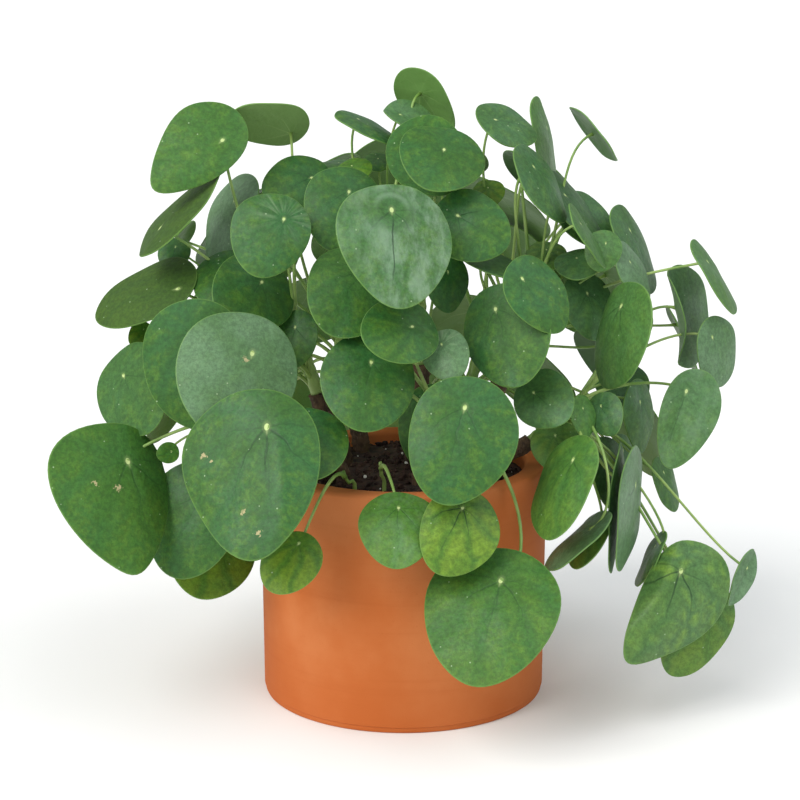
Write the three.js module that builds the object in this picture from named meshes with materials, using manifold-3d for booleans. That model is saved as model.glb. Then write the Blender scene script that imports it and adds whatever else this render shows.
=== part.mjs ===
import * as THREE from "three";
import { mergeVertices } from "three/addons/utils/BufferGeometryUtils.js";
import Module from "manifold-3d";

// A potted Chinese money plant. Millimetres, +Z up, origin at the middle of the pot's flat base.
// X runs across the plant as it is seen from the front, and -Y points to the front.

const pot = {
  radius: 90, // outer, at the rim
  taper: 0.8, // the foot is this much narrower
  height: 148,
  wall: 14,
  draft: 1, // the inside is this much narrower at the bottom
  cove: 6, // corner between wall and floor
  floor: 12,
  lipRound: 3,
  footRise: 4, // a fine step just above the base
  footStep: 0.7,
  footBevel: 1.5,
  sides: 40,
  drain: { radius: 5, reach: 28, count: 3, overshoot: 1 },
};

const soil = {
  gap: 0.6, // clear of the wall's flats
  edge: 139, // height where it meets the wall
  mound: 6, // the middle stands this much higher
  lump: 1.2,
  ripple: 5, // radians from ring to ring
  rings: 3,
  sides: 24,
};
const surface = soil.edge + soil.mound;

const blade = {
  thickness: 1,
  narrowing: 0.12, // towards the tip
  grades: [
    { from: 84, sides: 12, rings: [0.7, 1] },
    { from: 60, sides: 12, rings: [1] },
    { from: 34, sides: 10, rings: [1] },
    { from: 0, sides: 8, rings: [1] },
  ],
};

// A petiole's bends, in shares of its length.
const petiole = {
  radius: 1.62,
  sides: 3,
  steps: 4,
  rise: 0.3, // up out of the shoot
  out: 0.25,
  approach: 0.3, // square to the blade
  sag: 0.1,
  inset: 0.35, // of the shoot's radius
  lowest: 0.08, // springs between these shares of the shoot
  highest: 0.92,
};
const shootTube = { sides: 6, steps: 3 };
const wood = {
  sides: 7,
  steps: 6,
  holeDepth: 34,
  holePlay: 1.6,
  holeFloor: 0.3,
  upright: 6, // straight this far above the soil
  gap: 0.8, // to the green shoot
  bend: { over: 0.45, up: 0.4 }, // shares of the way to the crown
};

// Stems. foot is where a stem leaves the soil, crown is the top of its green shoot.
// A leaf is [x, y, z of the petiole's joint, length, width, facing, tilt, roll, join, side,
// bow, fold, twist].
// facing turns from the front (0) to the right (90), tilt lifts the face, and roll swings the tip sideways.
// join is how far down the blade the petiole meets it, side how far the blade lies across from the joint.
// bow bends the edge back, fold closes the halves, and twist lifts one corner against the next.
// A last list moves the middle of the petiole, to lead it round its neighbours.
const stems = [
  {
    name: "centre",
    foot: [8, 8],
    crown: [10, 12, 262],
    shoot: 55,
    girth: 8,
    green: 5,
    leaves: [
      [-57, 20, 323, 46, 40, 10, 40, -70, 0.3, 0, 0.06, 0, 0],
      [-33, -12, 318, 56, 48, 10, 30, -20, 0.3, -0.02, 0.06, 0, 0],
      [-41, 45, 330, 30, 34, 0, 85, 0, 0.32, 0, 0.04, 0, 0],
      [-32, 15, 331, 26, 22, -20, 60, 40, 0.3, 0, 0.04, 0, 0],
      [-16, 40, 333, 20, 18, 0, 60, 0, 0.32, 0, 0.04, 0, 0],
      [-28, 24, 359, 44, 37, 65, 65, -15, 0.3, 0, 0.06, 0, 0],
      [-7, -70, 314, 80, 68, 20, 35, -10, 0.23, 0.03, 0.05, 0, 0],
      [11, 34, 374, 52, 37, 150, 25, -20, 0.36, 0, 0.05, 0, 0],
      [-2, 18, 362, 36, 30, 35, 55, 45, 0.3, -0.03, 0.05, 0.3, 0],
      [24, -29, 345, 56, 52, 20, 50, -30, 0.4, 0, 0.06, 0, 0],
      [9, -8, 348, 56, 48, -10, 30, 35, 0.3, 0, 0.06, 0, 0],
      [27, -20, 270, 36, 30, 30, 10, -5, 0.32, 0, 0.06, 0, 0],
    ],
  },
  {
    name: "right_upper",
    foot: [42, 6],
    crown: [78, 12, 255],
    shoot: 50,
    girth: 6,
    green: 4,
    leaves: [
      [32, -40, 307, 50, 44, -5, 28, 60, 0.3, -0.04, 0.06, 0, 0],
      [52, 10, 318, 22, 20, -10, 50, 15, 0.32, 0, 0.05, 0, 0],
      [56, 5, 360, 42, 38, 40, 50, 60, 0.3, 0, 0.06, 0, 0],
      [91, 52, 351, 58, 54, 75, 12, -45, 0.3, 0, 0.06, 0, 0],
      [78, -20, 334, 54, 46, 62, 32, 5, 0.3, 0, 0.06, 0, 0],
      [118, 25, 350, 48, 42, 100, 38, -65, 0.34, -0.12, 0.06, 0, 0],
      [100, 14, 313, 56, 48, 66, 35, 30, 0.3, 0, 0.06, 0, 0],
      [110, 36, 301, 43, 36, 27, 35, 33, 0.3, 0, 0.06, 0, 0],
      [106, -30, 301, 45, 37, 78, 30, 18, 0.3, 0, 0.04, 0, 0],
      [142.5, 30, 289, 59.4, 51.3, 66, 25, 0, 0.3, 0, 0.06, 0, 0],
      [123, -12, 286.5, 27, 22.8, -5, 28, -10, 0.32, -0.04, 0.06, 0, 0],
      [139, -5, 274, 40, 34, 58, 26, 2, 0.3, 0, 0.06, 0, 0],
      [189, 10, 272, 54, 47, 74, 32, 12, 0.3, 0, 0.06, 0, 0],
      [69, -70, 274, 50, 40, 28, 30, 20, 0.25, 0.1, 0.06, 0, 0],
      [54, -58, 254, 66, 55, -30, 25, 28, 0.24, 0.05, 0.06, 0, 0],
      [48, -25, 280, 50, 44, 65, 70, 20, 0.32, 0, 0.05, 0, 0],
      [90, 28, 277, 28, 26, 0, 60, 0, 0.32, 0, 0.05, 0, 0],
      [107, 6, 275, 34, 30, -20, 65, 25, 0.32, 0, 0.05, 0, 0],
      [114, 4, 253, 44, 38, 30, 25, 0, 0.32, 0, 0.06, 0, 0],
    ],
  },
  {
    name: "right_lower",
    foot: [48, -30],
    crown: [108, -15, 190],
    shoot: 40,
    girth: 5.5,
    green: 4,
    leaves: [
      [131, -30, 251, 66, 58, -65, 14, -10, 0.25, 0.12, 0.08, 0, 0],
      [171, 15, 242, 62, 54, 60, 10, 0, 0.37, 0.2, 0.06, 0.25, 0],
      [192, 0, 226, 45, 39, 43, 8, 3, 0.28, 0.12, 0.06, 0, 0],
      [171, -38, 200, 60, 36, 12, 10, -22, 0.26, 0.14, 0.06, 0.3, 0],
      [77, -60, 204, 40, 36, -25, 32, 55, 0.3, 0.04, 0.06, 0, 0],
      [107, -58, 194, 26, 20, 40, 20, -10, 0.32, 0, 0.06, 0, 0],
      [118, -52, 194, 28, 24, -35, 20, 38, 0.3, 0, 0.06, 0, 0],
      [147, -10, 187, 46, 36, 55, 10, -10, 0.32, 0, 0.06, 0, 0],
      [139, 20, 198, 40, 36, 10, 50, -15, 0.32, 0, 0.06, 0, 0],
      [92, -40, 173, 36, 32, -5, 40, 15, 0.3, 0, 0.06, 0, 0],
      [98, -95, 172, 66, 55, -65, 30, 20, 0.26, -0.1, 0.07, 0, 0],
      [128, -12, 151, 46, 34, 50, 15, -5, 0.32, 0, 0.06, 0, 0],
      [140, 14, 150, 34, 26, 50, 15, -10, 0.32, 0, 0.06, 0, 0],
      [140, -55, 146, 82, 52, 70, 2, -45, 0.3, 0, 0.04, 0, 0],
      [134, -40, 144, 84, 62, 77, 0, -45, 0.28, 0, 0.05, 0, 0],
      [109, -92, 129, 54, 44, -90, 46, -25, 0.28, 0, 0.06, 0, 0, [10, 0, 25]],
      [114, -66, 121, 38, 33, -70, 30, -12, 0.3, 0, 0.06, 0, 0],
      [163, -10, 142, 36, 31, 60, 22, 0, 0.3, 0, 0.06, 0, 0],
      [153, -50, 106, 38, 33, -90, 28, 14, 0.3, 0, 0.05, 0, 0],
      [166, -75, 98, 82, 56, 20, 15, -32, 0.27, 0.17, 0.08, 0, -0.2],
      [187, -52, 66, 66, 46, 25, 10, -40, 0.3, 0, 0.06, 0, 0],
      [210, -50, 92, 36, 18, 40, 8, -42, 0.3, -0.06, 0.06, 0.3, 0],
    ],
  },
  {
    name: "left_upper",
    foot: [-38, 2],
    crown: [-68, 2, 238],
    shoot: 50,
    girth: 6,
    green: 4,
    leaves: [
      [-110, 0, 348, 70, 48, 5, 35, -40, 0.32, -0.19, 0.06, 0, 0],
      [-71, 44, 349, 53, 45, 188, 50, 110, 0.17, 0.12, 0.05, 0, 0],
      [-149, -5, 295, 70, 58, -70, 45, 172, 0.3, 0, 0.06, 0, 0],
      [-144, 32, 278, 24, 21, -5, 40, -5, 0.3, 0, 0.06, 0, 0],
      [-106, 30, 308, 62, 53, -55, 25, 0, 0.3, 0, 0.06, 0, 0],
      [-71, -40, 305, 56, 47, 5, 34, -15, 0.3, -0.13, 0.06, 0, 0],
      [-138, -14, 259, 71, 55, -40, 50, -53, 0.17, -0.18, 0.08, 0, 0],
      [-162, 5, 230, 18, 14, 15, 25, -40, 0.3, 0, 0.05, 0, 0],
      [-108, -8, 273, 43, 38, -22, 50, -6, 0.3, 0, 0.06, 0, 0],
      [-86, -20, 264, 58, 51, 33, 38, -52, 0.32, 0, 0.06, 0, 0],
      [-127, -50, 237, 79, 66, -10, 20, 14, 0.28, 0, 0.06, 0, 0],
      [-89, -66, 229, 81, 71, 16, 27, -20, 0.31, -0.08, 0.05, 0, 0],
      [-172, -20, 206, 63, 54, -37, 24, 50, 0.3, 0, 0.06, 0, 0],
      [-66, -25, 237, 37, 30, -15, 27, 0, 0.3, 0, 0.06, 0, 0],
    ],
  },
  {
    name: "left_lower",
    foot: [-38, -38],
    crown: [-72, -42, 185],
    shoot: 30,
    girth: 5,
    green: 4,
    leaves: [
      [-78, -114, 196, 101, 81, -22, 29, 16, 0.26, -0.15, 0.05, 0, 0, [10, 0, -14]],
      [-55, -85, 192, 51, 46, 10, 50, -5, 0.22, 0, 0.06, 0, 0],
      [-165, -60, 162, 91, 75, 30, 27, 4, 0.29, -0.16, 0.05, 0, 0],
      [-140, -50, 165, 14, 13, 20, 15, -85, 0.35, 0, 0.05, 0, 0],
      [-124, -50, 139, 72, 60, -10, 22, -13, 0.28, 0, 0.06, 0, 0],
      [-119, -12, 101, 60, 57, 19, 40, -23, 0.3, 0, 0.06, 0, 0],
    ],
  },
  {
    name: "front",
    foot: [10, -42],
    crown: [21, -47, 198],
    shoot: 36,
    girth: 5,
    green: 4,
    leaves: [
      [35, -100, 204, 77, 62, 0, 26, -16, 0.26, 0.05, 0.05, 0, 0],
      [34, -106, 146, 55, 46, 15, 32, -35, 0.24, 0.1, 0.06, 0, 0],
      [56, -115, 105, 87, 78, -10, 44, -8, 0.25, -0.02, 0.05, 0, 0, [28, 10, 10]],
      [-25, -45, 273, 64, 56, 14, 40, -32, 0.3, 0, 0.08, 0, 0],
      [5, -82, 248, 50, 43, 28, 41, -80, 0.33, 0, 0.06, 0, 0],
      [22, -74, 236, 34, 28, -10, 36, 22, 0.3, 0.02, 0.1, 0, 0],
      [-19, -72, 225, 63, 56, 10, 38, -15, 0.3, 0, 0.06, 0, 0],
      [22, -12, 182, 59, 50, 2, 22, -3, 0.3, 0, 0.06, 0, 0],
    ],
  },
  {
    name: "back_left",
    foot: [-28, 42],
    crown: [-45, 75, 225],
    shoot: 55,
    girth: 6,
    green: 4,
    leaves: [],
  },
  {
    name: "back_right",
    foot: [30, 46],
    crown: [55, 80, 220],
    shoot: 55,
    girth: 6,
    green: 4,
    leaves: [],
  },
  {
    name: "pup_left",
    foot: [-30, -64],
    crown: [-36, -68, 158],
    shoot: 99,
    girth: 2,
    green: 2,
    leaves: [
      [-61, -104, 124, 41, 35, -5, 40, -30, 0.21, 0.06, 0.08, 0, 0],
    ],
  },
  {
    name: "pup_front",
    foot: [-12, -58],
    crown: [-14, -62, 162],
    shoot: 99,
    girth: 2,
    green: 2,
    leaves: [
      [-3, -102, 145, 50, 46, -2, 46, 0, 0.23, 0, 0.06, 0, 0],
    ],
  },
];

// The far side carries leaves by a rule: a golden-ratio spread over the canopy's outer surface.
const farSide = {
  leaves: 34,
  centre: [8, 45, 208],
  reach: [172, 130, 146],
  facing: [96, 264],
  height: [-34, 64],
  depth: [0.86, 1.04], // shares of the reach
  length: [50, 82],
  slimness: [0.82, 0.92],
  turn: [-15, 15],
  tilt: [18, 34],
  tiltByHeight: 0.5,
  roll: [-30, 30],
  join: 0.26,
  bow: 0.06,
  goldenShare: 0.618034,
  seed: 17,
  draws: { factor: 16807, modulus: 2147483647 },
};

const finish = {
  clay: { color: 0xde8c55, roughness: 0.8 },
  earth: { color: 0x3a2620, roughness: 0.95 },
  bark: { color: 0x6e5238, roughness: 0.85 },
  leaf: { color: 0x3c7a3c, roughness: 0.45 },
};

const rad = THREE.MathUtils.degToRad;
const { lerp } = THREE.MathUtils;
const up = new THREE.Vector3(0, 0, 1);
const wasm = await Module();
wasm.setup();
const { Manifold, Mesh } = wasm;

// Closed geometry to a solid and back.

function toSolid(geometry) {
  const plain = geometry.clone();
  plain.deleteAttribute("normal");
  plain.deleteAttribute("uv");
  const merged = mergeVertices(plain, 1e-4);
  return new Manifold(
    new Mesh({
      numProp: 3,
      vertProperties: new Float32Array(merged.attributes.position.array),
      triVerts: new Uint32Array(merged.index.array),
    }),
  );
}

function toGeometry(solid) {
  const { vertProperties, triVerts } = solid.getMesh();
  const geometry = new THREE.BufferGeometry();
  geometry.setAttribute("position", new THREE.BufferAttribute(vertProperties, 3));
  geometry.setIndex(new THREE.BufferAttribute(triVerts, 1));
  geometry.computeVertexNormals();
  return geometry;
}

function joined(solids) {
  return solids.reduce((all, one) => all.add(one));
}

// The outer skin alone, so that a pocket closed in between crossing blades is filled.
function filled(solid) {
  const skins = solid.decompose();
  return skins.reduce((best, one) => (one.volume() > best.volume() ? one : best));
}

// Pot and soil.

// A profile of [radius, height] pairs turned about Z.
function turned(profile, sides) {
  const points = profile.map(([r, z]) => new THREE.Vector2(r, z));
  return toSolid(new THREE.LatheGeometry(points, sides).rotateX(Math.PI / 2));
}

function upright(radius, bottom, top, x, y, sides = 8) {
  const geometry = new THREE.CylinderGeometry(radius, radius, top - bottom, sides);
  geometry.rotateX(Math.PI / 2).translate(x, y, (top + bottom) / 2);
  return toSolid(geometry);
}

function quarterRound(cx, cz, r, start, steps = 2) {
  return Array.from({ length: steps + 1 }, (_, i) => {
    const a = start + ((i / steps) * Math.PI) / 2;
    return [cx + r * Math.cos(a), cz + r * Math.sin(a)];
  });
}

// The inside of the pot from its floor to its wall, drawn in by a margin.
function inside(margin) {
  const inner = pot.radius - pot.wall - margin;
  return {
    inner,
    corner: [
      [inner - pot.draft, pot.floor + pot.cove + margin],
      [inner - pot.cove, pot.floor + margin],
    ],
  };
}

function potSolid() {
  const { radius, height, floor, lipRound: r, footRise, footStep, footBevel } = pot;
  const foot = radius - pot.taper;
  const { inner, corner } = inside(0);
  const body = turned(
    [
      [0, 0],
      [foot - footStep - footBevel, 0],
      [foot - footStep, footBevel],
      [foot - footStep, footRise - footStep],
      [foot, footRise],
      ...quarterRound(radius - r, height - r, r, 0),
      ...quarterRound(inner + r, height - r, r, Math.PI / 2),
      ...corner,
      [0, floor],
    ],
    pot.sides,
  );
  const { radius: drainRadius, reach, count, overshoot } = pot.drain;
  const drains = Array.from({ length: count }, (_, i) => {
    const a = rad(90 + (i * 360) / count);
    return upright(drainRadius, -overshoot, floor + overshoot, reach * Math.cos(a), reach * Math.sin(a));
  });
  return body.subtract(joined(drains));
}

function soilSolid(holes) {
  const { inner, corner } = inside(soil.gap);
  const top = Array.from({ length: soil.rings }, (_, i) => {
    const share = 1 - i / soil.rings;
    const lumps = soil.lump * Math.sin(soil.ripple * i);
    return [inner * share, soil.edge + soil.mound * (1 - share * share) + lumps];
  });
  const profile = [[0, pot.floor + soil.gap], ...corner.reverse(), ...top, [0, surface]];
  return turned(profile, soil.sides).subtract(joined(holes));
}

// Stems.

// The line of a stem: straight up out of its hole, then over to the crown.
function stemLine({ foot: [fx, fy], crown: [cx, cy, cz] }) {
  const { over, up: rise } = wood.bend;
  return new THREE.CatmullRomCurve3([
    new THREE.Vector3(fx, fy, surface - wood.holeDepth),
    new THREE.Vector3(fx, fy, surface - wood.holeDepth / 2),
    new THREE.Vector3(fx, fy, surface + wood.upright),
    new THREE.Vector3(lerp(fx, cx, over), lerp(fy, cy, over), lerp(surface, cz, rise)),
    new THREE.Vector3(cx, cy, cz),
  ]);
}

function regular(radius, sides) {
  const corners = Array.from({ length: sides }, (_, i) => {
    const a = ((i + 0.5) / sides) * 2 * Math.PI;
    return new THREE.Vector2(radius * Math.cos(a), radius * Math.sin(a));
  });
  return new THREE.Shape(corners);
}

function tube(curve, radius, sides, steps) {
  const geometry = new THREE.ExtrudeGeometry(regular(radius, sides), {
    steps,
    extrudePath: curve,
    bevelEnabled: false,
  });
  return toSolid(geometry);
}

// The stretch of a curve between two shares of its length.
function stretch(curve, from, to, pieces = 14) {
  const points = Array.from({ length: pieces + 1 }, (_, i) =>
    curve.getPointAt(from + ((to - from) * i) / pieces),
  );
  return new THREE.CatmullRomCurve3(points);
}

// Leaves.

// face looks out of the blade, tip runs along it and across runs over it.
function leafAxes(facing, tilt, roll) {
  const [a, t, r] = [facing, tilt, roll].map(rad);
  const face = new THREE.Vector3(Math.cos(t) * Math.sin(a), -Math.cos(t) * Math.cos(a), Math.sin(t));
  const down = new THREE.Vector3(Math.sin(t) * Math.sin(a), -Math.sin(t) * Math.cos(a), -Math.cos(t));
  const aside = new THREE.Vector3().crossVectors(face, down);
  const tip = down.multiplyScalar(Math.cos(r)).addScaledVector(aside, Math.sin(r));
  return { face, tip, across: new THREE.Vector3().crossVectors(face, tip) };
}

function readLeaf([x, y, z, length, width, facing, tilt, roll, join, side, bow, fold, twist, lead]) {
  const shape = { length, width, join, side, bow, fold, twist };
  return { joint: new THREE.Vector3(x, y, z), ...leafAxes(facing, tilt, roll), ...shape, lead };
}

// How far the blade stands off its flat plane, with along and over measured from the joint.
function lift({ width, bow, fold, twist }, reach, along, over) {
  return -bow * width * reach * reach + fold * Math.abs(over) + (twist * along * over) / width;
}

// A point of the blade's middle surface. reach goes from the blade's middle (0) to its edge (1).
function bladePoint(leaf, reach, angle, seat) {
  const { length, width, join, side } = leaf;
  const along = length * (0.5 - join + (reach * Math.cos(angle)) / 2);
  const narrow = 1 - blade.narrowing * Math.cos(angle);
  const over = width * (side * reach + ((reach * Math.sin(angle)) / 2) * narrow);
  return leaf.joint
    .clone()
    .addScaledVector(leaf.tip, along)
    .addScaledVector(leaf.across, over)
    .addScaledVector(leaf.face, lift(leaf, reach, along, over) - seat);
}

// Both faces share one fan of triangles, with a ring more on the larger blades.
function bladeSolid(leaf) {
  const { sides, rings } = blade.grades.find((grade) => leaf.length >= grade.from);
  const seat = -leaf.bow * leaf.width * rings[0] * (1 - 2 * leaf.join); // the facet's height at the joint
  const middle = [bladePoint(leaf, 0, 0, seat)];
  rings.forEach((reach) => {
    for (let i = 0; i < sides; i++) {
      middle.push(bladePoint(leaf, reach, (2 * Math.PI * i) / sides, seat));
    }
  });
  const half = blade.thickness / 2;
  const count = middle.length;
  const upper = middle.map((p) => p.clone().addScaledVector(leaf.face, half));
  const lower = middle.map((p) => p.clone().addScaledVector(leaf.face, -half));
  const faces = [];
  const both = (a, b, c) => faces.push(a, b, c, count + a, count + c, count + b);
  for (let i = 0; i < sides; i++) {
    const next = (i + 1) % sides;
    both(0, 1 + i, 1 + next);
    for (let ring = 1; ring < rings.length; ring++) {
      const [inner, outer] = [1 + (ring - 1) * sides, 1 + ring * sides];
      both(inner + i, outer + i, outer + next);
      both(inner + i, outer + next, inner + next);
    }
    const rim = 1 + (rings.length - 1) * sides;
    faces.push(rim + i, count + rim + i, count + rim + next);
    faces.push(rim + i, count + rim + next, rim + next);
  }
  const geometry = new THREE.BufferGeometry().setFromPoints([...upper, ...lower]);
  geometry.setIndex(faces);
  return toSolid(geometry);
}

// The petiole leaves the shoot upwards and outwards, and meets the blade square from behind.
function petioleCurve(leaf, { spring, inset }) {
  const end = leaf.joint;
  const distance = spring.distanceTo(end);
  const outward = end.clone().sub(spring).setZ(0).normalize();
  const start = spring.clone().addScaledVector(outward, inset);
  const lead = new THREE.Vector3(...(leaf.lead ?? [0, 0, 0]));
  const first = start
    .clone()
    .addScaledVector(up, petiole.rise * distance)
    .addScaledVector(outward, petiole.out * distance)
    .add(lead);
  const second = end
    .clone()
    .addScaledVector(leaf.face, -petiole.approach * distance)
    .addScaledVector(up, petiole.sag * distance)
    .add(lead);
  return new THREE.CubicBezierCurve3(start, first, second, end);
}

// Higher leaves spring from higher up the green shoot.
function springPoint(shoot, leaf, low, high) {
  const share = high > low ? (leaf.joint.z - low) / (high - low) : 1;
  return shoot.getPointAt(lerp(petiole.lowest, petiole.highest, share));
}

function leafySolid(stem, shoot) {
  const leaves = stem.leaves.map(readLeaf);
  const heights = leaves.map((leaf) => leaf.joint.z);
  const [low, high] = [Math.min(...heights), Math.max(...heights)];
  const solids = leaves.flatMap((leaf) => {
    const spring = springPoint(shoot, leaf, low, high);
    const curve = petioleCurve(leaf, { spring, inset: stem.green * petiole.inset });
    return [bladeSolid(leaf), tube(curve, petiole.radius, petiole.sides, petiole.steps)];
  });
  return filled(joined([tube(shoot, stem.green, shootTube.sides, shootTube.steps), ...solids]));
}

// The far side's leaves.

// Whole numbers in, shares from 0 to 1 out, the same on every run.
function drawer(seed) {
  const { factor, modulus } = farSide.draws;
  let state = seed;
  return () => {
    state = (state * factor) % modulus;
    return state / modulus;
  };
}

function farLeaf(i, draw) {
  const { centre, reach } = farSide;
  const between = ([low, high], share) => lerp(low, high, share);
  const facing = between(farSide.facing, (i * farSide.goldenShare) % 1);
  const height = between(farSide.height, (i + 0.5) / farSide.leaves);
  const [a, e] = [rad(facing), rad(height)];
  const depth = between(farSide.depth, draw());
  const x = centre[0] + reach[0] * depth * Math.cos(e) * Math.sin(a);
  const y = centre[1] - reach[1] * depth * Math.cos(e) * Math.cos(a);
  const z = centre[2] + reach[2] * depth * Math.sin(e);
  const length = between(farSide.length, draw());
  const width = length * between(farSide.slimness, draw());
  const turn = facing + between(farSide.turn, draw());
  const tilt = farSide.tiltByHeight * Math.max(height, 0) + between(farSide.tilt, draw());
  const roll = between(farSide.roll, draw());
  return [x, y, z, length, width, turn, tilt, roll, farSide.join, 0, farSide.bow, 0, 0];
}

function shareFarLeaves() {
  const draw = drawer(farSide.seed);
  for (let i = 0; i < farSide.leaves; i++) {
    const leaf = farLeaf(i, draw);
    const side = leaf[0] < farSide.centre[0] ? "back_left" : "back_right";
    stems.find((stem) => stem.name === side).leaves.push(leaf);
  }
}

// The plant in its pot.

const plant = new THREE.Group();

function place(name, solid, look) {
  const material = new THREE.MeshStandardMaterial({ ...look, metalness: 0 });
  const mesh = new THREE.Mesh(toGeometry(solid), material);
  mesh.name = name;
  plant.add(mesh);
}

shareFarLeaves();
const holes = [];
for (const stem of stems) {
  const line = stemLine(stem);
  const length = line.getLength();
  const split = Math.max(0, 1 - stem.shoot / length); // 0 on a young plantlet, which is green all the way
  const bottom = surface - wood.holeDepth - wood.holeFloor;
  holes.push(upright(stem.girth + wood.holePlay, bottom, surface + wood.upright, ...stem.foot));
  if (split > 0) {
    const woody = stretch(line, 0, split - wood.gap / length);
    place(`${stem.name}_stem`, tube(woody, stem.girth, wood.sides, wood.steps), finish.bark);
  }
  place(`${stem.name}_leaves`, leafySolid(stem, stretch(line, split, 1)), finish.leaf);
}
place("pot", potSolid(), finish.clay);
place("soil", soilSolid(holes), finish.earth);

export default plant;
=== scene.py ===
import math
import random
import bpy
import numpy as np
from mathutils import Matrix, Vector, noise


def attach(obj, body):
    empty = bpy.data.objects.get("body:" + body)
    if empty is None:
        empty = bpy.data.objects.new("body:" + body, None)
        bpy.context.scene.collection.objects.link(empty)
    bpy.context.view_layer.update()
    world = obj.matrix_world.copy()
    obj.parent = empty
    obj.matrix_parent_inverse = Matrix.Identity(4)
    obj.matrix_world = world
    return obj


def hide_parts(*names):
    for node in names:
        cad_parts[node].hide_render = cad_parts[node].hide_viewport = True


# A potted Chinese money plant, in metres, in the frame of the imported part.
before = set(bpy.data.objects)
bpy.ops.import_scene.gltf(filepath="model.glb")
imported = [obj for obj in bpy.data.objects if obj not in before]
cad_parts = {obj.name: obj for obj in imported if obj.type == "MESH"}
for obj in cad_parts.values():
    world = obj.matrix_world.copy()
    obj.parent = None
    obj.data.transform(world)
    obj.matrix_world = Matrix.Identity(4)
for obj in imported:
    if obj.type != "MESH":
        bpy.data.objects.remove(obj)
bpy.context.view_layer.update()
mm = 0.001
close = 1e-5
scene = bpy.context.scene

cameraSet = {"place": (-0.0022, -1.203, 0.455), "down": 12.6, "lens": 88.7, "sensor": 36}
lightSet = {
    "sky": (0.94, 0.97, 1.0), "skyStrength": 0.60,
    "key": {"place": (-0.70, -0.66, 0.86), "power": 2.6, "soft": 46, "colour": (1.0, 0.985, 0.955)},
    "fill": {"place": (0.75, -0.40, 0.90), "power": 0.95, "soft": 60, "colour": (0.94, 0.98, 1.0)},
}
floorSet = {"size": 60, "colour": (0.9, 0.9, 0.89), "roughness": 0.75}


def aimAt(thing, target):
    thing.rotation_euler = (Vector(target) - thing.location).to_track_quat("-Z", "Y").to_euler()


def setCamera():
    bpy.ops.object.camera_add(location=cameraSet["place"])
    camera = bpy.context.object
    camera.rotation_euler = (math.radians(90 - cameraSet["down"]), 0, 0)
    camera.data.lens = cameraSet["lens"]
    camera.data.sensor_width = cameraSet["sensor"]
    camera.data.clip_end = 100
    scene.camera = camera


def setLights():
    world = bpy.data.worlds.new("studio")
    world.use_nodes = True
    background = world.node_tree.nodes["Background"]
    background.inputs["Color"].default_value = (*lightSet["sky"], 1)
    background.inputs["Strength"].default_value = lightSet["skyStrength"]
    scene.world = world
    for name in ("key", "fill"):
        lamp = lightSet[name]
        bpy.ops.object.light_add(type="SUN", location=lamp["place"])
        light = bpy.context.object
        light.name = name
        light.data.energy = lamp["power"]
        light.data.angle = math.radians(lamp["soft"])
        light.data.color = lamp["colour"]
        aimAt(light, (0, 0, 0))
    scene.view_settings.view_transform = "Standard"


def setFloor():
    bpy.ops.mesh.primitive_plane_add(size=floorSet["size"])
    floor = bpy.context.object
    floor.name = "studioFloor"
    material = bpy.data.materials.new("paleFloor")
    material.use_nodes = True
    shader = material.node_tree.nodes["Principled BSDF"]
    shader.inputs["Base Color"].default_value = (*floorSet["colour"], 1)
    shader.inputs["Roughness"].default_value = floorSet["roughness"]
    floor.data.materials.append(material)


bpy.ops.object.select_all(action="DESELECT")
setCamera()
setLights()
setFloor()
print("stage set")


# Small helpers for nodes. They work in the material that was started last.
current = {}


def feed(socket, value):
    if isinstance(value, bpy.types.Node):
        value = value.outputs[0]
    if isinstance(value, bpy.types.NodeSocket):
        current["tree"].links.new(value, socket)
    elif isinstance(value, tuple) and len(value) == 3 and socket.type == "RGBA":
        socket.default_value = (*value, 1)
    else:
        socket.default_value = value


def node(kind, feeds=None, **settings):
    made = current["tree"].nodes.new("ShaderNode" + kind)
    for key, value in settings.items():
        setattr(made, key, value)
    for key, value in (feeds or {}).items():
        feed(made.inputs[key], value)
    return made


def calc(operation, *values):
    return node("Math", dict(enumerate(values)), operation=operation)


def times(first, *others):
    for other in others:
        first = calc("MULTIPLY", first, other)
    return first


def mix(share, first, second, kind="MIX"):
    return node("MixRGB", {0: share, 1: first, 2: second}, blend_type=kind)


# colours laid over one another: each layer is a share and the name of its colour
def layered(colours, colour, *layers):
    for share, name in layers:
        colour = mix(share, colour, colours[name])
    return colour


def ramp(value, low, high, atLow=0.0, atHigh=1.0):
    limits = {0: value, 1: low, 2: high, 3: atLow, 4: atHigh}
    return node("MapRange", limits, interpolation_type="SMOOTHSTEP")


def noiseAt(place, scale, detail, roughness):
    return node("TexNoise", {"Vector": place, "Scale": scale, "Detail": detail, "Roughness": roughness})


def grain(scale, detail=3.0, roughness=0.55, stretch=(1, 1, 1)):
    place = node("TexCoord").outputs["Object"]
    if stretch != (1, 1, 1):
        place = node("Mapping", {"Vector": place, "Scale": stretch})
    return noiseAt(place, scale, detail, roughness)


def bump(height, distance, strength=1.0, under=None):
    feeds = {"Height": height, "Distance": distance, "Strength": strength}
    if under is not None:
        feeds["Normal"] = under
    return node("Bump", feeds)


def startMaterial(name, roughness, **shaderValues):
    material = bpy.data.materials.new(name)
    material.use_nodes = True
    current["tree"] = material.node_tree
    shader = material.node_tree.nodes["Principled BSDF"]
    shader.inputs["Roughness"].default_value = roughness
    for key, value in shaderValues.items():
        shader.inputs[key].default_value = value
    return material, shader.inputs


def finishPiece(piece, name, replaced, material):
    piece.name = name
    piece.data.name = name
    piece.data.materials.clear()
    piece.data.materials.append(material)
    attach(piece, "root")
    if replaced:
        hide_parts(*replaced)
    print("made", name, len(piece.data.polygons), "faces")


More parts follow.
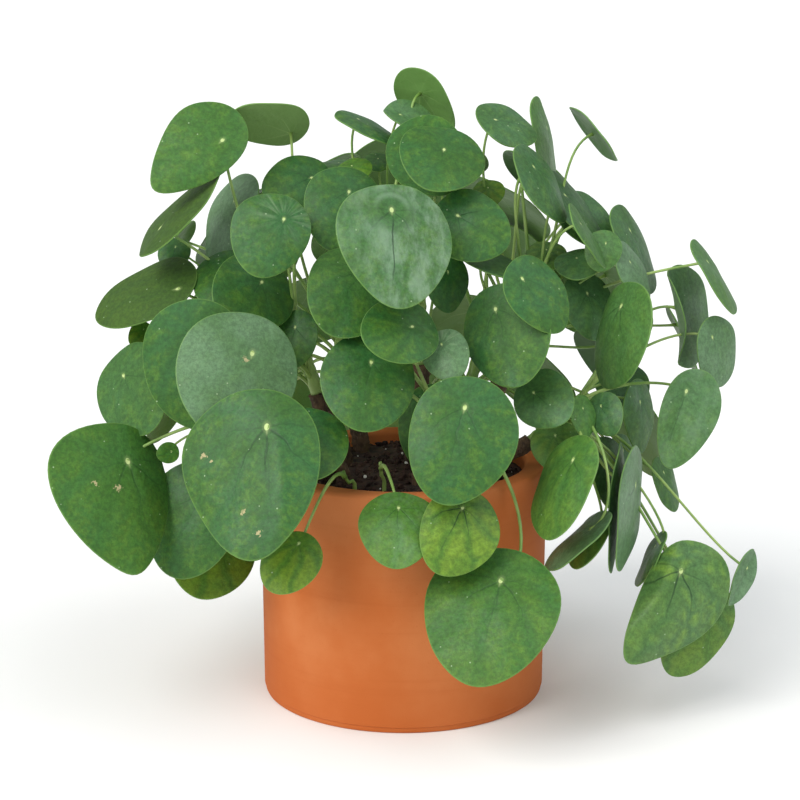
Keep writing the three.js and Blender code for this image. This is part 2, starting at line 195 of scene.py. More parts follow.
# The terracotta pot.
potSet = {
    "radius": 90 * mm, "taper": 0.8 * mm, "height": 148 * mm, "wall": 14 * mm, "floor": 12 * mm,
    "draft": 1 * mm, "cove": 6 * mm, "lip": 3 * mm, "footRise": 4 * mm, "footStep": 0.7 * mm,
    "footBevel": 1.2 * mm, "lipSegments": 4, "footSegments": 2, "smoothAngle": 32, "around": 128,
    "drainRadius": 5 * mm, "drainReach": 28 * mm, "drains": 3, "drainStart": 90, "drainAround": 32,
}
terracottaSet = {
    "body": (0.50, 0.130, 0.028), "pale": (0.57, 0.185, 0.060), "deep": (0.40, 0.086, 0.014),
    "roughness": (0.72, 0.9), "shine": 0.2, "paintedBounceBand": 75 * mm,
}


def terracotta():
    form = terracottaSet
    material, inputs = startMaterial("terracotta", 0.8, **{"Specular IOR Level": form["shine"]})
    cloud = grain(14, 4)
    turning = grain(60, 3, stretch=(0.12, 0.12, 3.2))
    speck = grain(900, 2, 0.7)
    # a little deeper towards the foot: painted warm light bounced up from below
    height = node("SeparateXYZ", {0: node("TexCoord").outputs["Object"]}).outputs["Z"]
    paintedBounceNearFoot = ramp(height, 0, form["paintedBounceBand"], 0.4, 0)
    colour = layered(
        form, form["body"], (ramp(cloud, 0.35, 0.7), "pale"), (ramp(turning, 0.5, 0.8, 0, 0.22), "deep"),
        (ramp(speck, 0.62, 0.75, 0, 0.3), "deep"), (paintedBounceNearFoot, "deep"),
    )
    feed(inputs["Base Color"], colour)
    feed(inputs["Roughness"], ramp(cloud, 0.3, 0.7, *form["roughness"]))
    fine = bump(speck, 0.00012, 0.5)
    feed(inputs["Normal"], bump(turning, 0.0004, 0.35, fine))
    return material


def selectEdges(piece, test):
    bpy.ops.object.mode_set(mode="EDIT")
    bpy.ops.mesh.select_mode(type="EDGE")
    bpy.ops.mesh.select_all(action="DESELECT")
    bpy.ops.object.mode_set(mode="OBJECT")
    points = piece.data.vertices
    for edge in piece.data.edges:
        edge.select = test(*(points[i].co for i in edge.vertices))
    bpy.ops.object.mode_set(mode="EDIT")


# extrude what is selected along Z, then widen it about the pot's axis
def raiseRing(height, factor):
    bpy.ops.mesh.extrude_region_move(TRANSFORM_OT_translate={"value": (0, 0, height)})
    bpy.ops.transform.resize(value=(factor, factor, 1), center_override=(0, 0, 0))


def applyAll(piece):
    bpy.context.view_layer.objects.active = piece
    for modifier in list(piece.modifiers):
        bpy.ops.object.modifier_apply(modifier=modifier.name)


def clearSelection():
    bpy.ops.object.select_all(action="DESELECT")


# a flat disc to start from, left in edit mode with all of it selected
def addDisc(around, radius, height=0):
    clearSelection()
    bpy.ops.mesh.primitive_circle_add(
        vertices=around, radius=radius, fill_type="NGON", location=(0, 0, height)
    )
    disc = bpy.context.object
    bpy.ops.object.transform_apply(location=True)
    bpy.ops.object.mode_set(mode="EDIT")
    bpy.ops.mesh.select_all(action="SELECT")
    return disc


def faceOut():
    bpy.ops.mesh.select_all(action="SELECT")
    bpy.ops.mesh.normals_make_consistent(inside=False)
    bpy.ops.object.mode_set(mode="OBJECT")


def modelPot():
    form = potSet
    foot = form["radius"] - form["taper"]
    recess = foot - form["footStep"]
    inner = form["radius"] - form["wall"]
    pot = addDisc(form["around"], recess)
    # up the outside, ring by ring: foot, fine step, wall
    raiseRing(form["footRise"] - form["footStep"], 1)
    raiseRing(form["footStep"], foot / recess)
    raiseRing(form["height"] - form["footRise"], form["radius"] / foot)
    # over the rim and down the inside
    bpy.ops.mesh.inset(thickness=form["wall"])
    raiseRing(form["floor"] + form["cove"] - form["height"], (inner - form["draft"]) / inner)
    raiseRing(-form["cove"], (inner - form["cove"]) / (inner - form["draft"]))
    faceOut()

    def atRim(a, b):
        return min(a.z, b.z) > form["height"] - close and abs(a.xy.length - b.xy.length) < close

    def atBase(a, b):
        return max(a.z, b.z) < close

    selectEdges(pot, atRim)
    bpy.ops.mesh.bevel(offset=form["lip"], segments=form["lipSegments"], affect="EDGES")
    selectEdges(pot, atBase)
    bpy.ops.mesh.bevel(offset=form["footBevel"], segments=form["footSegments"], affect="EDGES")
    bpy.ops.object.mode_set(mode="OBJECT")
    # drain holes through the floor
    for i in range(form["drains"]):
        turn = math.radians(form["drainStart"] + 360 * i / form["drains"])
        reach = form["drainReach"]
        clearSelection()
        bpy.ops.mesh.primitive_cylinder_add(
            vertices=form["drainAround"], radius=form["drainRadius"], depth=form["floor"] * 3,
            location=(reach * math.cos(turn), reach * math.sin(turn), form["floor"] / 2),
        )
        drill = bpy.context.object
        cut = pot.modifiers.new("drain", "BOOLEAN")
        cut.object = drill
        cut.operation = "DIFFERENCE"
        applyAll(pot)
        bpy.data.objects.remove(drill)
    clearSelection()
    pot.select_set(True)
    bpy.context.view_layer.objects.active = pot
    bpy.ops.object.shade_smooth_by_angle(angle=math.radians(form["smoothAngle"]))
    finishPiece(pot, "terracotta_pot", ["pot"], terracotta())


modelPot()

# The soil, with crumbs and perlite.
soilSet = {
    "radius": 75.6 * mm, "edge": 139 * mm, "mound": 6 * mm, "depth": 126 * mm, "rings": 26, "around": 96,
    "lumps": ((38, 2.6 * mm), (110, 1.5 * mm), (300, 0.7 * mm)),
    "baseInset": 6 * mm, "sideInset": 1 * mm, "baseRise": 7 * mm, "clearOfWall": 4 * mm,
    "wallFade": 9, "grainStretch": ((0.7, 1.3), (0.7, 1.3), (0.5, 0.9)), "grainRise": 0.15,
    "crumb": 620, "crumbSize": (0.8 * mm, 2.8 * mm), "crumbLumps": 0.35,
    "perlite": 46, "perliteSize": (0.6 * mm, 1.3 * mm), "perliteLumps": 0.25, "seed": 7,
}
soilColours = {
    "dark": (0.018, 0.009, 0.007), "brown": (0.075, 0.036, 0.024), "fleck": (0.16, 0.09, 0.06),
    "pore": (0.62, 0.58, 0.52), "white": (0.86, 0.85, 0.82),
}


def earth():
    material, inputs = startMaterial("pottingSoil", 0.95)
    patch = grain(120, 5, 0.65)
    fleck = grain(900, 2, 0.6)
    layers = (ramp(patch, 0.35, 0.7), "brown"), (ramp(fleck, 0.6, 0.72, 0, 0.6), "fleck")
    feed(inputs["Base Color"], layered(soilColours, soilColours["dark"], *layers))
    feed(inputs["Normal"], bump(patch, 0.0008, 0.8))
    return material


def perliteWhite():
    material, inputs = startMaterial("perlite", 0.9)
    pores = grain(1500, 2)
    feed(inputs["Base Color"], mix(pores, soilColours["pore"], soilColours["white"]))
    feed(inputs["Normal"], bump(pores, 0.0002, 0.7))
    return material


def moundHeight(x, y):
    share = min(1, math.hypot(x, y) / soilSet["radius"])
    height = soilSet["edge"] + soilSet["mound"] * (1 - share * share)
    fade = min(1, (1 - share) * soilSet["wallFade"])
    for scale, size in soilSet["lumps"]:
        height += fade * size * noise.noise(Vector((x * scale, y * scale, scale)))
    return height


def modelSoil():
    form = soilSet
    lowest = form["edge"] - form["depth"]
    baseRadius = form["radius"] - form["baseInset"]
    sideRadius = form["radius"] - form["sideInset"]
    soil = addDisc(form["around"], baseRadius, lowest)
    raiseRing(form["baseRise"], sideRadius / baseRadius)
    raiseRing(form["depth"] - form["baseRise"], form["radius"] / sideRadius)
    for _ in range(form["rings"]):
        bpy.ops.mesh.inset(thickness=form["radius"] / (form["rings"] + 1))
    bpy.ops.mesh.poke()
    faceOut()
    for point in soil.data.vertices:
        if point.co.z > form["edge"] - close:
            point.co.z = moundHeight(point.co.x, point.co.y)
    bpy.ops.object.shade_smooth()
    finishPiece(soil, "potting_soil", ["soil"], earth())


def scatterGrains(name, kind, seed, material):
    form = soilSet
    lumpiness = form[kind + "Lumps"]
    draw = random.Random(seed)
    clearSelection()
    bpy.ops.mesh.primitive_ico_sphere_add(subdivisions=1, radius=1)
    first = bpy.context.object
    grains = []
    for _ in range(form[kind]):
        piece = first.copy()
        piece.data = first.data.copy()
        scene.collection.objects.link(piece)
        reach = (form["radius"] - form["clearOfWall"]) * math.sqrt(draw.random())
        turn = 2 * math.pi * draw.random()
        size = draw.uniform(*form[kind + "Size"])
        x, y = reach * math.cos(turn), reach * math.sin(turn)
        for point in piece.data.vertices:
            point.co *= draw.uniform(1 - lumpiness, 1 + lumpiness)
        piece.scale = [size * draw.uniform(*limits) for limits in form["grainStretch"]]
        piece.rotation_euler = [draw.uniform(0, 2 * math.pi) for _ in range(3)]
        piece.location = (x, y, moundHeight(x, y) + form["grainRise"] * size)
        grains.append(piece)
    bpy.data.objects.remove(first)
    joinPieces(grains)
    bpy.ops.object.transform_apply(location=True, rotation=True, scale=True)
    finishPiece(bpy.context.object, name, [], material)


def joinPieces(pieces):
    clearSelection()
    for piece in pieces:
        piece.select_set(True)
    bpy.context.view_layer.objects.active = pieces[0]
    if len(pieces) > 1:
        bpy.ops.object.join()


modelSoil()
scatterGrains("soil_crumbs", "crumb", soilSet["seed"], bpy.data.materials["pottingSoil"])
scatterGrains("perlite_grains", "perlite", soilSet["seed"] + 1, perliteWhite())


# Stems and leaves, in millimetres as in the part's source.
# A row is one leaf: (x, y, z of the stalk's joint, length, width, facing, tilt, roll, join, side, tone), then
# where it has them a list that leads the stalk aside and a dictionary of the leaf's own marks.
# tone is 0 for mature dark green, 1 bright, 2 yellow green, 3 pale grey green (green under a painted sheen),
# 4 olive and 5 mid green.
# Marks of form: bow, fold, twist, point, crest, narrow, quilt, pucker, sway, and bentEdge (heading, start
# and bend, in degrees and millimetres).
# Marks of colour: yellow, pale, patches, veins, crease, streaks, gloss, dull, and scars (x, y, size).
# A stem's own pale, a painted haze of sheen, is added to each of its leaves that has no pale mark; the pale
# mark itself, the whitish rays and the whitish gloss are painted sheen too.
stems = [
    {"name": "centre", "foot": (8, 8), "crown": (10, 12, 262), "shoot": 55, "girth": 8, "green": 5},
    {
        "name": "right_upper", "foot": (42, 6), "crown": (78, 12, 255), "shoot": 50, "girth": 6, "green": 4,
        "pale": 0.24,
    },
    {
        "name": "right_lower", "foot": (48, -30), "crown": (108, -15, 190), "shoot": 40, "girth": 5.5,
        "green": 4, "pale": 0.18,
    },
    {"name": "left_upper", "foot": (-38, 2), "crown": (-68, 2, 238), "shoot": 50, "girth": 6, "green": 4},
    {"name": "left_lower", "foot": (-38, -38), "crown": (-72, -42, 185), "shoot": 30, "girth": 5, "green": 4},
    {"name": "front", "foot": (10, -42), "crown": (21, -47, 198), "shoot": 36, "girth": 5, "green": 4},
    {"name": "back_left", "foot": (-28, 42), "crown": (-45, 75, 225), "shoot": 55, "girth": 6, "green": 4},
    {"name": "back_right", "foot": (30, 46), "crown": (55, 80, 220), "shoot": 55, "girth": 6, "green": 4},
    {"name": "pup_left", "foot": (-30, -64), "crown": (-36, -68, 158), "shoot": 99, "green": 1.3},
    {"name": "pup_front", "foot": (-12, -58), "crown": (-14, -62, 162), "shoot": 99, "green": 1.3},
]
leafRows = {
    "centre": [
        (-57, 20, 323, 46, 40, 10, 40, -70, 0.3, 0, 0),
        (-33, -12, 318, 56, 48, 10, 30, -20, 0.3, -0.02, 0),
        (-41, 45, 330, 30, 34, 0, 85, 0, 0.32, 0, 0, {"bow": 0.04}),
        (-32, 15, 331, 26, 22, -20, 60, 40, 0.3, 0, 2, {"bow": 0.04, "yellow": 0.3}),
        (-16, 40, 333, 20, 18, 0, 60, 0, 0.32, 0, 0, {"bow": 0.04}),
        (-28, 24, 359, 44, 37, 65, 65, -15, 0.3, 0, 0),
        (-7, -70, 314, 80, 68, 20, 35, -10, 0.23, 0.03, 0,
         {"bow": 0.05, "pucker": 1, "narrow": 0.22, "paintedSheen": 1, "crease": 1, "veins": 0.6, "pale": 0.1,
          "quilt": 2}),
        (11, 34, 374, 52, 37, 150, 25, -20, 0.36, 0, 1, {"bow": 0.05}),
        (-2, 18, 362, 36, 30, 35, 55, 45, 0.3, -0.03, 3, {"bow": 0.05, "fold": 0.3, "pale": 0.4}),
        (24, -29, 345, 56, 52, 20, 50, -30, 0.4, 0, 0),
        (9, -8, 348, 56, 48, -10, 30, 35, 0.3, 0, 0, {"dull": 0.8}),
        (27, -20, 270, 36, 30, 30, 10, -5, 0.32, 0, 0),
    ],
    "right_upper": [
        (32, -40, 307, 50, 44, -5, 28, 60, 0.3, -0.04, 0, {"pale": 0}),
        (52, 10, 318, 22, 20, -10, 50, 15, 0.32, 0, 2, {"bow": 0.05, "pale": 0}),
        (56, 5, 360, 42, 38, 40, 50, 60, 0.3, 0, 0),
        (91, 52, 351, 58, 54, 75, 12, -45, 0.3, 0, 1),
        (78, -20, 334, 54, 46, 62, 32, 5, 0.3, 0, 0),
        (118, 25, 350, 48, 42, 100, 38, -65, 0.34, -0.12, 0, {"pale": 0.6}),
        (100, 14, 313, 56, 48, 66, 35, 30, 0.3, 0, 0),
        (110, 36, 301, 43, 36, 27, 35, 33, 0.3, 0, 0),
        (106, -30, 301, 45, 37, 78, 30, 18, 0.3, 0, 1, {"bow": 0.04}),
        (142.5, 30, 289, 59.4, 51.3, 66, 25, 0, 0.3, 0, 0),
        (123, -12, 286.5, 27, 22.8, -5, 28, -10, 0.32, -0.04, 1),
        (139, -5, 274, 40, 34, 58, 26, 2, 0.3, 0, 3, {"crest": 0.12}),
        (189, 10, 272, 54, 47, 74, 32, 12, 0.3, 0, 1),
        (69, -70, 274, 50, 40, 28, 30, 20, 0.25, 0.1, 0, {"pale": 0}),
        (54, -58, 254, 66, 55, -30, 25, 28, 0.24, 0.05, 0, {"pale": 0}),
        (48, -25, 280, 50, 44, 65, 70, 20, 0.32, 0, 0, {"bow": 0.05}),
        (90, 28, 277, 28, 26, 0, 60, 0, 0.32, 0, 2, {"bow": 0.05}),
        (107, 6, 275, 34, 30, -20, 65, 25, 0.32, 0, 0, {"bow": 0.05}),
        (114, 4, 253, 44, 38, 30, 25, 0, 0.32, 0, 0),
    ],
    "right_lower": [
        (131, -30, 251, 66, 58, -65, 14, -10, 0.25, 0.12, 1, {"bow": 0.08, "pale": 0.22}),
        (171, 15, 242, 62, 54, 60, 10, 0, 0.37, 0.2, 3,
         {"fold": 0.25, "crest": 0.1, "pale": 0.55, "bentEdge": (-90, 2, -38)}),
        (192, 0, 226, 45, 39, 43, 8, 3, 0.28, 0.12, 3, {"pale": 0.75}),
        (171, -38, 200, 60, 36, 12, 10, -22, 0.26, 0.14, 5,
         {"fold": 0.3, "pale": 0.35, "point": 0.1, "crease": 0.35, "veins": 0.3, "paintedSheen": 0.35}),
        (77, -60, 204, 40, 36, -25, 32, 55, 0.3, 0.04, 0),
        (107, -58, 194, 26, 20, 40, 20, -10, 0.32, 0, 1),
        (118, -52, 194, 28, 24, -35, 20, 38, 0.3, 0, 0),
        (147, -10, 187, 46, 36, 55, 10, -10, 0.32, 0, 0),
        (139, 20, 198, 40, 36, 10, 50, -15, 0.32, 0, 0),
        (92, -40, 173, 36, 32, -5, 40, 15, 0.3, 0, 2),
        (98, -95, 172, 66, 55, -65, 30, 20, 0.26, -0.1, 1,
         {"bow": 0.07, "yellow": 0.2, "patches": 0.3, "pale": 0.08, "quilt": 2}),
        (128, -12, 151, 46, 34, 50, 15, -5, 0.32, 0, 0),
        (140, 14, 150, 34, 26, 50, 15, -10, 0.32, 0, 0),
        (140, -55, 146, 82, 52, 70, 2, -45, 0.3, 0, 3, {"bow": 0.04}),
        (134, -40, 144, 84, 62, 77, 0, -45, 0.28, 0, 0, {"bow": 0.05}),
        (109, -92, 129, 54, 44, -90, 46, -25, 0.28, 0, 3, [10, 0, 25]),
        (114, -66, 121, 38, 33, -70, 30, -12, 0.3, 0, 2),
        (163, -10, 142, 36, 31, 60, 22, 0, 0.3, 0, 0),
        (153, -50, 106, 38, 33, -90, 28, 14, 0.3, 0, 0, {"bow": 0.05}),
        (166, -75, 98, 82, 56, 20, 15, -32, 0.27, 0.17, 1,
         {"bow": 0.08, "twist": -0.2, "patches": 1, "narrow": 0.26, "pale": 0.36, "yellow": 0.3, "veins": 0.9,
          "point": 0.1, "quilt": 2.4, "bentEdge": (-90, 7, 62), "sway": -26}),
        (187, -52, 66, 66, 46, 25, 10, -40, 0.3, 0, 2),
        (210, -50, 92, 36, 18, 40, 8, -42, 0.3, -0.06, 3, {"fold": 0.3, "point": 0.1, "crest": 0.1}),
    ],
    "left_upper": [
        (-110, 0, 348, 70, 48, 5, 35, -40, 0.32, -0.19, 5,
         {"point": 0.11, "narrow": 0.2, "patches": 0.2, "veins": 0.1}),
        (-71, 44, 349, 53, 45, 188, 50, 110, 0.17, 0.12, 2, {"bow": 0.05}),
        (-149, -5, 295, 70, 58, -70, 45, 172, 0.3, 0, 4, {"veins": 0.1}),
        (-144, 32, 278, 24, 21, -5, 40, -5, 0.3, 0, 0),
        (-106, 30, 308, 62, 53, -55, 25, 0, 0.3, 0, 3, {"pale": 0.95}),
        (-71, -40, 305, 56, 47, 5, 34, -15, 0.3, -0.13, 0, {"paintedStreaks": 0.5, "veins": 0.2}),
        (-138, -14, 259, 71, 55, -40, 50, -53, 0.17, -0.18, 4, {"bow": 0.08, "veins": 0.1}),
        (-162, 5, 230, 18, 14, 15, 25, -40, 0.3, 0, 2, {"bow": 0.05}),
        (-108, -8, 273, 43, 38, -22, 50, -6, 0.3, 0, 0),
        (-86, -20, 264, 58, 51, 33, 38, -52, 0.32, 0, 0),
        (-127, -50, 237, 79, 66, -10, 20, 14, 0.28, 0, 0, {"dull": 0.6}),
        (-89, -66, 229, 81, 71, 16, 27, -20, 0.31, -0.08, 3,
         {"bow": 0.05, "pale": 0.74, "veins": 0.05, "scars": ((5, -3, 2.0),)}),
        (-172, -20, 206, 63, 54, -37, 24, 50, 0.3, 0, 3, {"pale": 0.16, "dull": 0.6}),
        (-66, -25, 237, 37, 30, -15, 27, 0, 0.3, 0, 0),
    ],
    "left_lower": [
        (-78, -114, 196, 101, 81, -22, 29, 16, 0.26, -0.15, 0, [10, 0, -14],
         {"bow": 0.05, "point": 0.03, "narrow": 0.2, "veins": 0.8, "crease": 0.25, "quilt": 2,
          "bentEdge": (90, 6, 24), "scars": ((10, -40, 2.6), (14, -35, 1.3), (48, -17, 2.0), (61, -9, 2.4))}),
        (-55, -85, 192, 51, 46, 10, 50, -5, 0.22, 0, 0),
        (-165, -60, 162, 91, 75, 30, 27, 4, 0.29, -0.16, 5,
         {"bow": 0.05, "point": 0.06, "narrow": 0.34, "veins": 0.5, "crease": 0.2, "quilt": 1.6,
          "bentEdge": (90, 4, 18), "dull": 0.4, "scars": ((9, -24, 2.2), (15, -11, 2.6))}),
        (-140, -50, 165, 14, 13, 20, 15, -85, 0.35, 0, 1, {"bow": 0.05}),
        (-124, -50, 139, 72, 60, -10, 22, -13, 0.28, 0, 0),
        (-119, -12, 101, 60, 57, 19, 40, -23, 0.3, 0, 2),
    ],
    "front": [
        (35, -100, 204, 77, 62, 0, 26, -16, 0.26, 0.05, 0, {"bow": 0.05, "veins": 0.45, "crease": 0.3}),
        (34, -106, 146, 55, 46, 15, 32, -35, 0.24, 0.1, 1,
         {"patches": 0.7, "veins": 1, "yellow": 0.75, "crease": 0.4, "quilt": 1.6}),
        (56, -115, 105, 87, 78, -10, 44, -8, 0.25, -0.02, 5, [28, 10, 10],
         {"bow": 0.05, "narrow": 0.18, "veins": 0.55, "crease": 0.3, "yellow": 0.12, "patches": 0.2,
          "quilt": 1.5}),
        (-25, -45, 273, 64, 56, 14, 40, -32, 0.3, 0, 0, {"bow": 0.08}),
        (5, -82, 248, 50, 43, 28, 41, -80, 0.33, 0, 0),
        (22, -74, 236, 34, 28, -10, 36, 22, 0.3, 0.02, 3, {"bow": 0.1, "paintedStreaks": 0.8}),
        (-19, -72, 225, 63, 56, 10, 38, -15, 0.3, 0, 0),
        (22, -12, 182, 59, 50, 2, 22, -3, 0.3, 0, 0),
    ],
    "back_left": [],
    "back_right": [],
    "pup_left": [
        # this pup's leaf is yellow green, and its yellow share is raised further as painted light, lifting it
        # out of the shade of the big leaf above
        (-61, -104, 124, 41, 35, -5, 40, -30, 0.21, 0.06, 2,
         {"bow": 0.08, "narrow": 0.05, "yellow": 0.85, "veins": 0.4}),
    ],
    "pup_front": [
        (-3, -102, 145, 50, 46, -2, 46, 0, 0.23, 0, 1, {"yellow": 0.15, "paintedSheen": 0.3}),
    ],
}

# the marks of a leaf whose row doesn't say otherwise
plainMarks = {
    "bow": 0.06, "fold": 0, "twist": 0, "point": 0.02, "crest": 0, "narrow": 0.12, "quilt": 1, "sway": 0,
    "patches": 0, "crease": 0, "paintedStreaks": 0, "paintedSheen": 0, "scars": (),
}

# The far side's leaves follow a rule, as in the part's source.
farSide = {
    "leaves": 34, "centre": (8, 45, 208), "reach": (172, 130, 146), "facing": (96, 264), "height": (-34, 64),
    "depth": (0.86, 1.04), "length": (50, 82), "slimness": (0.82, 0.92), "turn": (-15, 15), "tilt": (18, 34),
    "tiltByHeight": 0.5, "roll": (-30, 30), "join": 0.26, "tones": (0, 1, 0, 3, 0, 2, 1),
    "goldenShare": 0.618034, "seed": 17,
}


# even draws between 0 and 1, the same at every run
drawSet = {"factor": 16807, "wrap": 2147483647}


def drawer(seed):
    state = seed
    while True:
        state = (state * drawSet["factor"]) % drawSet["wrap"]
        yield state / drawSet["wrap"]


def between(limits, share):
    return limits[0] + (limits[1] - limits[0]) * share


def farLeaf(i, draw):
    rule = farSide

    def drawn(name):
        return between(rule[name], next(draw))

    facing = between(rule["facing"], (i * rule["goldenShare"]) % 1)
    height = between(rule["height"], (i + 0.5) / rule["leaves"])
    a, e = math.radians(facing), math.radians(height)
    depth = drawn("depth")
    x = rule["centre"][0] + rule["reach"][0] * depth * math.cos(e) * math.sin(a)
    y = rule["centre"][1] - rule["reach"][1] * depth * math.cos(e) * math.cos(a)
    z = rule["centre"][2] + rule["reach"][2] * depth * math.sin(e)
    length = drawn("length")
    width = length * drawn("slimness")
    turn = facing + drawn("turn")
    tilt = rule["tiltByHeight"] * max(height, 0) + drawn("tilt")
    tone = rule["tones"][i % len(rule["tones"])]
    return x, y, z, length, width, turn, tilt, drawn("roll"), rule["join"], 0, tone


def shareFarLeaves():
    draw = drawer(farSide["seed"])
    for i in range(farSide["leaves"]):
        row = farLeaf(i, draw)
        side = "back_left" if row[0] < farSide["centre"][0] else "back_right"
        leafRows[side].append(row)


# The lines of stems and stalks.
woodSet = {
    "surface": 145, "holeDepth": 34, "upright": 6, "over": 0.45, "up": 0.4, "overlap": 1.5,
    "points": 61, "aroundLevel": 4, "slim": 0.93, "scarStep": 7.5, "scarSwell": 0.08, "scarPower": 6,
    "unevenness": 0.025, "lumpScale": 260, "lump": 0.5 * mm,
}
stalkSet = {
    "rise": 0.3, "out": 0.25, "approach": 0.3, "sag": 0.1, "inset": 0.35, "lowest": 0.08, "highest": 0.92,
    "seat": 0.5, "base": 1.5, "slim": 0.95, "slimBy": 0.625, "flare": 1.5, "flareFrom": 0.93,
    "collar": 0.5, "collarLength": 0.03, "leastSize": 0.7, "fullLength": 80, "points": 22, "aroundLevel": 2,
    "shootPoints": 19, "knuckle": 0.07, "knuckleStep": 3, "shootTaper": 0.25, "taperPower": 4,
}


# a smooth curve through the points, with the pull between two set by the root of their distance
def splinePoint(points, share):
    place = (len(points) - 1) * share
    i = min(int(place), len(points) - 2)
    w = place - i
    p1, p2 = points[i], points[i + 1]
    p0 = points[i - 1] if i > 0 else 2 * p1 - p2
    p3 = points[i + 2] if i + 2 < len(points) else 2 * p2 - p1
    d0, d1, d2 = (math.sqrt((b - a).length) for a, b in ((p0, p1), (p1, p2), (p2, p3)))
    t1 = ((p1 - p0) / d0 - (p2 - p0) / (d0 + d1) + (p2 - p1) / d1) * d1
    t2 = ((p2 - p1) / d1 - (p3 - p1) / (d1 + d2) + (p3 - p2) / d2) * d1
    c2 = 3 * (p2 - p1) - 2 * t1 - t2
    c3 = 2 * (p1 - p2) + t1 + t2
    return p1 + t1 * w + c2 * w * w + c3 * w ** 3


def stemLine(stem):
    (fx, fy), (cx, cy, cz) = stem["foot"], stem["crown"]
    surface, over, up = woodSet["surface"], woodSet["over"], woodSet["up"]
    return [
        Vector((fx, fy, surface - woodSet["holeDepth"])),
        Vector((fx, fy, surface - woodSet["holeDepth"] / 2)),
        Vector((fx, fy, surface + woodSet["upright"])),
        Vector((fx + (cx - fx) * over, fy + (cy - fy) * over, surface + (cz - surface) * up)),
        Vector((cx, cy, cz)),
    ]


# the curve as many short steps, and the length gone at each
def walk(points, pieces=400):
    line = [splinePoint(points, i / pieces) for i in range(pieces + 1)]
    gone = [0]
    for a, b in zip(line, line[1:]):
        gone.append(gone[-1] + (b - a).length)
    return line, gone


def along(walked, distance):
    line, gone = walked
    i = int(np.searchsorted(gone, distance))
    i = min(max(i, 1), len(line) - 1)
    share = (distance - gone[i - 1]) / (gone[i] - gone[i - 1])
    return line[i - 1].lerp(line[i], share)


def leafAxes(facing, tilt, roll):
    a, t, r = (math.radians(v) for v in (facing, tilt, roll))
    face = Vector((math.cos(t) * math.sin(a), -math.cos(t) * math.cos(a), math.sin(t)))
    down = Vector((math.sin(t) * math.sin(a), -math.sin(t) * math.cos(a), -math.cos(t)))
    tip = down * math.cos(r) + face.cross(down) * math.sin(r)
    return face, tip, face.cross(tip)


def readLeaf(row):
    row = list(row)
    marks = {**plainMarks, **(row.pop() if isinstance(row[-1], dict) else {})}
    lead = Vector(row.pop()) if isinstance(row[-1], list) else Vector((0, 0, 0))
    names = ("length", "width", "facing", "tilt", "roll", "join", "side", "tone")
    leaf = dict(zip(names, row[3:]), joint=Vector(row[:3]), marks=marks, lead=lead)
    leaf["face"], leaf["tip"], leaf["across"] = leafAxes(leaf["facing"], leaf["tilt"], leaf["roll"])
    return leaf


def stalkPoints(stem, leaf, spring):
    form = stalkSet
    end = leaf["joint"] - form["seat"] * leaf["face"]
    distance = (end - spring).length
    outward = (end - spring) * Vector((1, 1, 0))
    outward.normalize()
    start = spring + outward * stem["green"] * form["inset"]
    rise = Vector((0, 0, form["rise"] * distance))
    sag = Vector((0, 0, form["sag"] * distance))
    first = start + rise + outward * form["out"] * distance + leaf["lead"]
    second = end - leaf["face"] * form["approach"] * distance + sag + leaf["lead"]
    shares = [i / (form["points"] - 1) for i in range(form["points"])]
    return [
        (1 - s) ** 3 * start + 3 * (1 - s) ** 2 * s * first + 3 * (1 - s) * s * s * second + s ** 3 * end
        for s in shares
    ]


# each line is a list of points and radii in millimetres
def tubePiece(lines, level):
    clearSelection()
    bpy.ops.curve.primitive_bezier_curve_add(location=(0, 0, 0))
    curve = bpy.context.object
    shape = curve.data
    shape.splines.clear()
    shape.dimensions = "3D"
    shape.bevel_depth = 1
    shape.bevel_resolution = level
    shape.use_fill_caps = True
    for line in lines:
        spline = shape.splines.new("POLY")
        spline.points.add(len(line) - 1)
        for knot, (place, radius) in zip(spline.points, line):
            knot.co = (*(place * mm), 1)
            knot.radius = radius * mm
    bpy.ops.object.convert(target="MESH")
    bpy.ops.object.mode_set(mode="EDIT")
    bpy.ops.mesh.select_all(action="SELECT")
    bpy.ops.mesh.remove_doubles(threshold=close / 10)
    faceOut()
    bpy.ops.object.shade_smooth()
    return bpy.context.object


# Finishes of the plant.
stalkColours = {"pale": (0.33, 0.47, 0.13), "green": (0.16, 0.30, 0.055), "brown": (0.20, 0.13, 0.06)}
barkColours = {"brown": (0.13, 0.075, 0.038), "grey": (0.26, 0.19, 0.13), "dark": (0.045, 0.025, 0.015)}
# the pale film, the whitish gloss and the rays laid in the speck colour are painted sheen; the under green is
# partly the underside's own and partly painted light shining through the blade
leafColours = {
    "cool": (0.024, 0.104, 0.022), "dark": (0.028, 0.098, 0.012), "bright": (0.062, 0.185, 0.012),
    "yellow": (0.150, 0.250, 0.016), "pale": (0.120, 0.215, 0.110), "olive": (0.036, 0.075, 0.006),
    "warm": (0.078, 0.175, 0.016), "blotch": (0.165, 0.285, 0.030), "speck": (0.34, 0.46, 0.27),
    "under": (0.112, 0.240, 0.052), "underVein": (0.30, 0.44, 0.16), "vein": (0.005, 0.030, 0.007),
    "dot": (0.50, 0.62, 0.25), "margin": (0.15, 0.29, 0.06), "scar": (0.44, 0.38, 0.20),
    "paintedSheen": (0.26, 0.38, 0.26),
}
